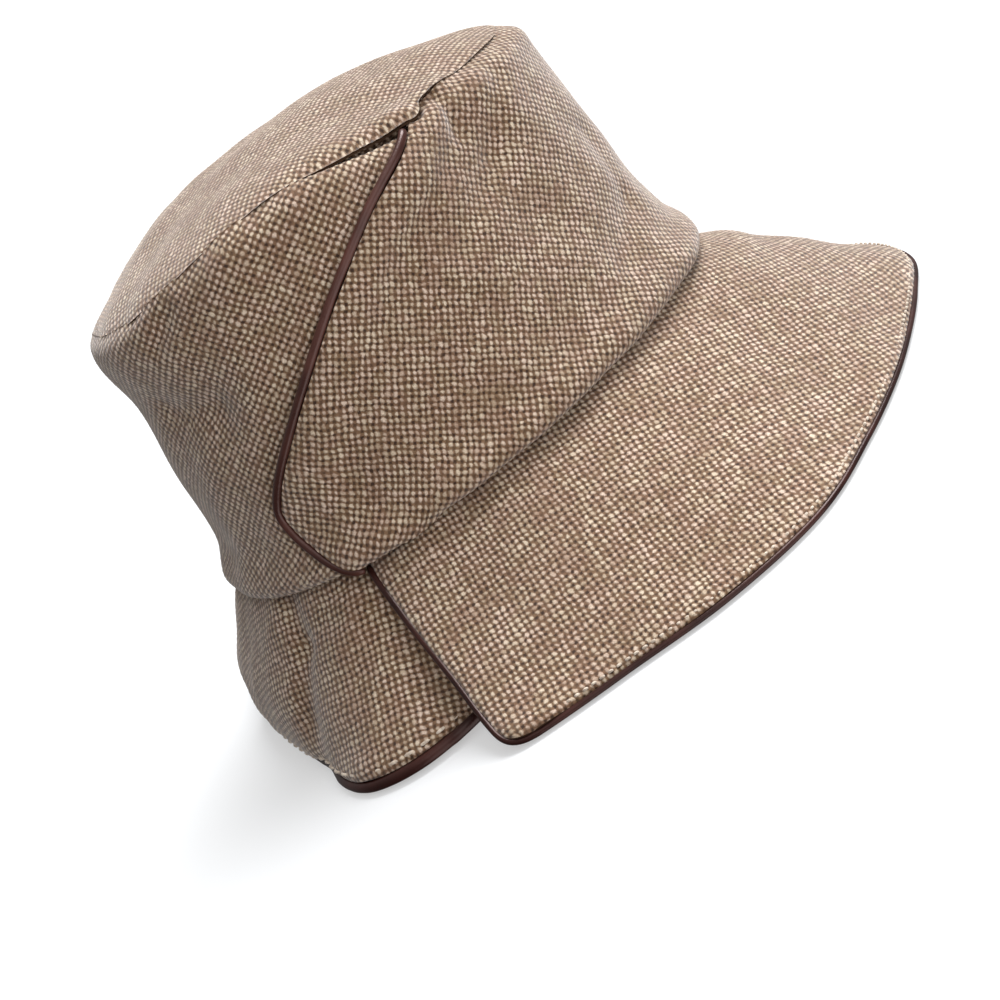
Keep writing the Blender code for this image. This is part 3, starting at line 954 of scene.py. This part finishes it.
def skin(panel, rim, rim_turns, rim_levels, step, margin):
    """One side of the cloth: its points on the flat cloth and on the panel, and its triangles."""
    u, v = lattice(rim.min(0), rim.max(0), step, 0.5 * min(step, 1))
    turns, levels, on = panel.from_flat(u, v)
    spots = np.stack([u[on], v[on]], axis=1)
    clear = distances(rim, spots, True) > margin
    flat = np.concatenate([rim, spots[clear]])
    made = geometry.delaunay_2d_cdt(
        [Vector(p) for p in flat.tolist()], [], [list(range(len(rim)))], 1, SAME_POINT, True
    )
    source = np.array([ids[0] for ids in made[3]])
    faces = source[np.array(made[2])]
    border = np.flatnonzero((faces < len(rim)).all(1))
    beyond = border[~surrounded(rim, flat[faces[border]].mean(1))]
    faces = np.delete(faces, beyond, axis=0)
    turns = np.concatenate([rim_turns, turns[on][clear]])
    levels = np.concatenate([rim_levels, levels[on][clear]])
    return flat, turns, levels, faces


def cloth(panel, thickness, rolls, creases, seed):
    """A panel of woven cloth, with every thread outside, and its flat size and area."""
    edges = panel.outline()
    rim_turns, rim_levels = (np.concatenate([edge[k] for edge in edges]) for k in (1, 2))
    rim = np.stack(panel.to_flat(rim_turns, rim_levels), axis=1)
    parts = []
    for step, margin in ((1 / POINTS_A_THREAD, EDGE_MARGIN), (INSIDE_STEP, INSIDE_MARGIN)):
        flat, turns, levels, faces = skin(panel, rim, rim_turns, rim_levels, step, margin)
        normal = panel.facing(turns, levels)
        height = waves(flat[:, 0], flat[:, 1], seed) - creased(panel, creases, flat)
        kept = np.ones(len(flat))
        start = 0
        for name, edge_turns, _ in edges:
            line = rim[start:start + len(edge_turns)]
            start += len(edge_turns)
            near = distances(line, flat, name == "rim")
            roll = rolls.get(name, NO_ROLL)
            height += edge_height(roll, near, turns)
            if roll in SEWN_ROLLS:
                sewn = SEWN_SHARE
                if roll == "tip":
                    sewn = sewn + reading(SEAM_ROLLS, "lift", wrapped(turns)) / LIP_LIFT
                kept = np.minimum(kept, sewn + (1 - sewn) * eased(near / SEWN_WIDTH))
        if parts:
            height -= thickness * kept
        else:
            height += weave_height(flat[:, 0], flat[:, 1])
        parts.append((flat, panel.place(turns, levels) + normal * height[:, None], faces, normal))
    (flat, outside, outer_faces, normal), (in_flat, inside, inner_faces, _) = parts

    # All faces look out of the cloth, and the edge joins its two sides
    corners = outside[outer_faces]
    across = np.cross(corners[:, 1] - corners[:, 0], corners[:, 2] - corners[:, 0])
    ring = np.arange(len(rim))
    if (across * normal[outer_faces[:, 0]]).sum() < 0:
        outer_faces = outer_faces[:, ::-1]
    else:
        inner_faces = inner_faces[:, ::-1]
        ring = ring[::-1]
    after = np.roll(ring, -1)
    first = len(outside)
    walls = np.stack([ring, after, after + first, ring + first], axis=1)
    places = np.concatenate([outside, inside]) + HAT_CENTRE
    places[:, 2] = np.maximum(places[:, 2], FLOOR_GAP)
    faces = outer_faces.tolist() + (inner_faces + first).tolist() + walls.tolist()
    thing = add_mesh(panel.name, places, faces, tweed)
    # The walls at the cut edge take the painted shade material
    thing.data.materials.append(edge_painted_shade)
    for face in thing.data.polygons[len(faces) - len(walls):]:
        face.material_index = 1

    # Every corner's place on the flat cloth, for the pattern
    cells = np.concatenate([flat, in_flat])
    layer = thing.data.uv_layers.new(name="weave")
    corner = np.empty(len(thing.data.loops), dtype=np.int64)
    thing.data.loops.foreach_get("vertex_index", corner)
    layer.data.foreach_set("uv", cells[corner].astype(np.float32).ravel())
    size = (rim.max(0) - rim.min(0)) * PITCH
    after = np.roll(rim, -1, axis=0)
    area = abs((rim[:, 0] * after[:, 1] - after[:, 0] * rim[:, 1]).sum() / 2) * PITCH**2
    return thing, size, area


def tubes(name, routes, material, sides):
    """One mesh of closed round tubes: each route is its points, its radii and an upward side."""
    places, faces = [], []
    turn = np.linspace(0, 2 * pi, sides, endpoint=False)
    for points, radii, upright in routes:
        along = unit(np.gradient(points, axis=0))
        aside = unit(np.cross(along, upright))
        over = np.cross(aside, along)
        rings = points[:, None] + radii[:, None, None] * (
            aside[:, None] * np.cos(turn)[None, :, None] + over[:, None] * np.sin(turn)[None, :, None]
        )
        first = sum(len(block) for block in places)
        places.append(rings.reshape(-1, 3))
        for i in range(len(points) - 1):
            for k in range(sides):
                a, b = first + i * sides + k, first + i * sides + (k + 1) % sides
                faces.append((a, b, b + sides, a + sides))
        faces.append(tuple(first + k for k in reversed(range(sides))))
        faces.append(tuple(first + (len(points) - 1) * sides + k for k in range(sides)))
    return add_mesh(name, np.concatenate(places) + HAT_CENTRE, faces, material)


def beside(panel, turn, level, step):
    """A path spaced out on a panel: turns, levels, points, and the ways outward and right."""
    turn, level = spaced(panel.place, turn, level, step)
    points = panel.place(turn, level)
    normal = panel.facing(turn, level)
    right = unit(np.cross(unit(np.gradient(points, axis=0)), normal))
    return turn, level, points, normal, right


def tapered(count, radius, tip, ends):
    """Radii of a tube that narrows to a share of its radius over its last few points."""
    radii = np.full(count, radius)
    for i in range(ends):
        share = tip + (1 - tip) * sin(pi / 2 * (i + 0.5) / ends)
        radii[i] = radii[count - 1 - i] = radius * share
    return radii


def piping(name, panel, turn, level, aside, out, radius, material, roll=NO_ROLL, swell=0.0):
    """Leather piping beside a path on a panel, thicker at the seam by the share called swell."""
    turn, level, points, normal, right = beside(panel, turn, level, PIPING_STEP)
    out = out + edge_height(roll, (1 - level) * CROWN_HEIGHT, turn)
    points = points + right * aside + normal * out[:, None]
    points[:, 2] = np.maximum(points[:, 2], radius)
    radii = tapered(len(points), radius, tip=0.3, ends=3) * (1 + swell * (1 - level))
    return tubes(name, [(points, radii, normal)], material, PIPING_SIDES)


def crown_piping(name, side):
    """The piping along one slanting edge of the front panel, from just under the tip."""
    top = 0.995
    level = np.linspace(top, 0.0, CROWN_PATH)
    turn = side * crown_edge(level)
    if side < 0:
        level, turn = level[::-1], turn[::-1]
    lift = 0.0002
    radius = PIPING / 2
    out = radius + lift
    return piping(name, crown_back_flat, turn, level, out, out, radius, leather, "wall")


def rim_corner():
    """Where the front brim's side edge reaches its rim, as an angle."""
    return float(brim_edge(np.array(1.0)))


def front_rim(low):
    """The front brim's free edge, from a level on one side round the rim to the other side."""
    side = np.linspace(low, 1, SIDE_PATH)
    rim = np.linspace(rim_corner(), 0, RIM_PATH)
    turn = np.concatenate([brim_edge(side), rim[1:]])
    level = np.concatenate([side, np.ones(len(rim) - 1)])
    return np.concatenate([turn, -turn[-2::-1]]), np.concatenate([level, level[-2::-1]])


def brim_front_piping():
    """Thinner piping, sunk a little into the edge, that thickens towards the seam."""
    turn, level = front_rim(low=0.01)
    thinner = 0.0005
    radius = PIPING / 2 - thinner
    # Its leather is the darker copy, with painted shade
    return piping(
        "leather_brim_front", brim_front_flat, turn, level, aside=0.7 * radius,
        out=-BRIM_CLOTH / 2, radius=radius, material=shade_painted_leather, swell=0.4,
    )


def brim_back_piping():
    """Thicker piping along the rim, from under one side of the front brim to the other."""
    start = rim_corner() - brim_lap
    turn = np.linspace(360 - start, start, RIM_PATH)
    thicker = 0.0004
    radius = PIPING / 2 + thicker
    # Its leather is the darker copy, with painted shade
    return piping(
        "leather_brim_back", brim_back_flat, turn, np.ones_like(turn), aside=radius,
        out=-BRIM_CLOTH / 2, radius=radius, material=shade_painted_leather,
    )


def stitches(name, panel, turn, level, row):
    """A row of straight stitches beside a path on a panel."""
    _, _, points, normal, right = beside(panel, turn, level, row.pitch / STITCH_POINTS)
    points = points + right * row.aside
    taken = round(STITCH_POINTS * row.share)
    arch = row.lift * np.sin(np.linspace(0, pi, taken + 1)) - row.radius / 2
    radii = tapered(taken + 1, row.radius, tip=0.4, ends=2)
    routes = []
    for first in range(0, len(points) - STITCH_POINTS - 1, STITCH_POINTS):
        part = slice(first, first + taken + 1)
        routes.append((points[part] + normal[part] * arch[:, None], radii, normal[part]))
    return tubes(name, routes, thread, sides=6)


def add_floor():
    """A plain pale floor, wide enough to reach the background."""
    half = 30.0
    g = Graph(bpy.data.materials.new("pale_floor"))
    pale = g.finish(
        Base_Color=(0.45, 0.45, 0.45, 1), Roughness=0.9, Specular_IOR_Level=0.0,
        Emission_Color=(1, 1, 1, 1), Emission_Strength=0.45,
    )
    corners = half * np.array([(-1, -1, 0), (1, -1, 0), (1, 1, 0), (-1, 1, 0)])
    floor = add_mesh("floor", corners, [(0, 1, 2, 3)], pale)
    floor.visible_diffuse = False
    floor.visible_glossy = False
    floor.visible_shadow = False


# Lamps: where each shines from, its strength and how many degrees it spreads over
LAMPS = named_rows(
    "name azimuth elevation strength spread",
    ("key", 20, 57, 4.45, 38),
    ("fill", 276, 40, 0.85, 60),
    ("reflector", 288, -36, 1.9, 80),
)


def direction(azimuth, elevation):
    """Out from the hat, with azimuth in degrees from its front round to the wearer's left."""
    a, e = radians(azimuth), radians(elevation)
    return Vector((sin(a) * cos(e), -cos(a) * cos(e), sin(e)))


def add_light():
    """A broad key from above the front, a soft fill and a low reflector on the wearer's right,
    and a dim world that is brighter overhead and in front."""
    for row in LAMPS:
        lamp = bpy.data.lights.new(row.name, "SUN")
        lamp.energy = row.strength
        lamp.angle = radians(row.spread)
        lamp.color = (0.97, 1.0, 1.035)
        thing = add_object(row.name, lamp)
        thing.rotation_mode = "QUATERNION"
        thing.rotation_quaternion = (-direction(row.azimuth, row.elevation)).to_track_quat("-Z", "Y")
    g = Graph(bpy.data.worlds.new("studio"), "Background")
    split = g.node("SeparateXYZ", Vector=g.node("TexCoord").outputs["Generated"])
    height = g.node("MapRange", Value=split.outputs["Z"], From_Min=-1.0, To_Min=0.04, To_Max=0.51)
    sky = g.scaled(split.outputs["Y"], by=-0.08, plus=height.outputs[0])
    seen = g.node("LightPath").outputs["Is Camera Ray"]
    strength = g.node("MapRange", Value=seen, To_Min=sky, To_Max=1.0)
    bpy.context.scene.world = g.finish(Color=(1, 1, 1, 1), Strength=strength.outputs[0])


def add_camera():
    """The camera looks at the wearer's right side of the hat from a little above, rolled."""
    centre = Vector(HAT_CENTRE)
    away = direction(azimuth=260.0, elevation=14.1) * 0.796
    aim = Vector((-0.0198, 0.0114, 0.0274)) + centre
    lens = bpy.data.cameras.new("camera")
    lens.lens = 83.08
    lens.sensor_width = 36.0
    camera = add_object("camera", lens)
    camera.location = Vector((0, 0, 0.09)) + centre + away
    level = (aim - camera.location).to_track_quat("-Z", "Y").to_matrix()
    roll = Matrix.Rotation(radians(-36.14), 3, "Z")
    camera.rotation_mode = "QUATERNION"
    camera.rotation_quaternion = (level @ roll).to_quaternion()
    bpy.context.scene.camera = camera


# The panels, with the direction of the weave on each, and the front brim's easing by turn
BRIM_EASING = ((30.0, 0.96), (65.0, 0.88), (90.0, 1.03), (120.0, 1.10))
crown_lap = angle_of(CROWN_OVERLAP)
brim_lap = angle_of(BRIM_OVERLAP)
crown_front_flat = Panel(
    "tweed_crown_front", front_panel,
    lambda level: (-crown_edge(level), crown_edge(level)),
    low=0.0, weave_turn=36.0, weave_at=94.0, hand=-1,
)
crown_back_flat = Panel(
    "tweed_crown_back", crown_surface,
    lambda level: (crown_edge(level) - crown_lap, 360 - crown_edge(level) + crown_lap),
    low=0.0, weave_turn=57.0, weave_at=125.0, hand=-1,
)
brim_front_flat = Panel(
    "tweed_brim_front", front_brim,
    lambda level: (-brim_edge(level), brim_edge(level)),
    low=-1.0, weave_turn=-12.5, weave_at=91.0, hand=1, spread=0.65, easing=BRIM_EASING,
)
brim_back_flat = Panel(
    "tweed_brim_back", back_brim,
    lambda level: (brim_edge(level) - brim_lap, 360 - brim_edge(level) + brim_lap),
    low=-1.0, weave_turn=-3.0, weave_at=135.0, hand=1,
)
tip_flat = Tip("tweed_tip", weave_turn=46.0)

# How each panel's edges roll over, where they do
crown_rolls = dict(bottom=CROWN_FOOT, top="wall", start=PIPED_EDGE, end=PIPED_EDGE)
back_rolls = dict(bottom=BACK_FOOT, top="wall")
brim_rolls = dict(top=PIPED_EDGE, start=PIPED_EDGE, end=PIPED_EDGE)
under_rolls = dict(top=PIPED_EDGE)

for panel, thickness, rolls, creases, seed, node, rests in (
    (tip_flat, CROWN_CLOTH, dict(rim="tip"), (), 1, "crown_tip", ["crown_front", "crown_back"]),
    (crown_front_flat, CROWN_CLOTH, crown_rolls, CROWN_CREASES, 2, "crown_front", ["brim_front"]),
    (crown_back_flat, CROWN_CLOTH, back_rolls, BACK_CREASES, 3, "crown_back", ["brim_back"]),
    (brim_front_flat, BRIM_CLOTH, brim_rolls, (), 4, "brim_front", ["brim_front_piping"]),
    (brim_back_flat, BRIM_CLOTH, under_rolls, BRIM_CREASES, 5, "brim_back", ["brim_back_piping"]),
):
    thing, size, area = cloth(panel, thickness, rolls, creases, seed)
    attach(thing, "root")
    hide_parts(node)

for thing, node in (
    (crown_piping("leather_crown_right", 1), "crown_piping_right"),
    (crown_piping("leather_crown_left", -1), "crown_piping_left"),
    (brim_front_piping(), "brim_front_piping"),
    (brim_back_piping(), "brim_back_piping"),
):
    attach(thing, "root")
    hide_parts(node)

rim_turn, rim_level = front_rim(low=0.93)
under_front = 2
back_start = rim_corner() - under_front
back_turn = np.linspace(back_start, 360 - back_start, STITCH_PATH)
back_level = np.ones(STITCH_PATH)
for thing in (
    stitches("stitches_brim_front", brim_front_flat, rim_turn, rim_level, FRONT_ROW),
    stitches("stitches_brim_back", brim_back_flat, back_turn, back_level, BACK_ROW),
):
    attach(thing, "root")

add_floor()
add_light()
add_camera()
bpy.context.scene.view_settings.view_transform = "Standard"
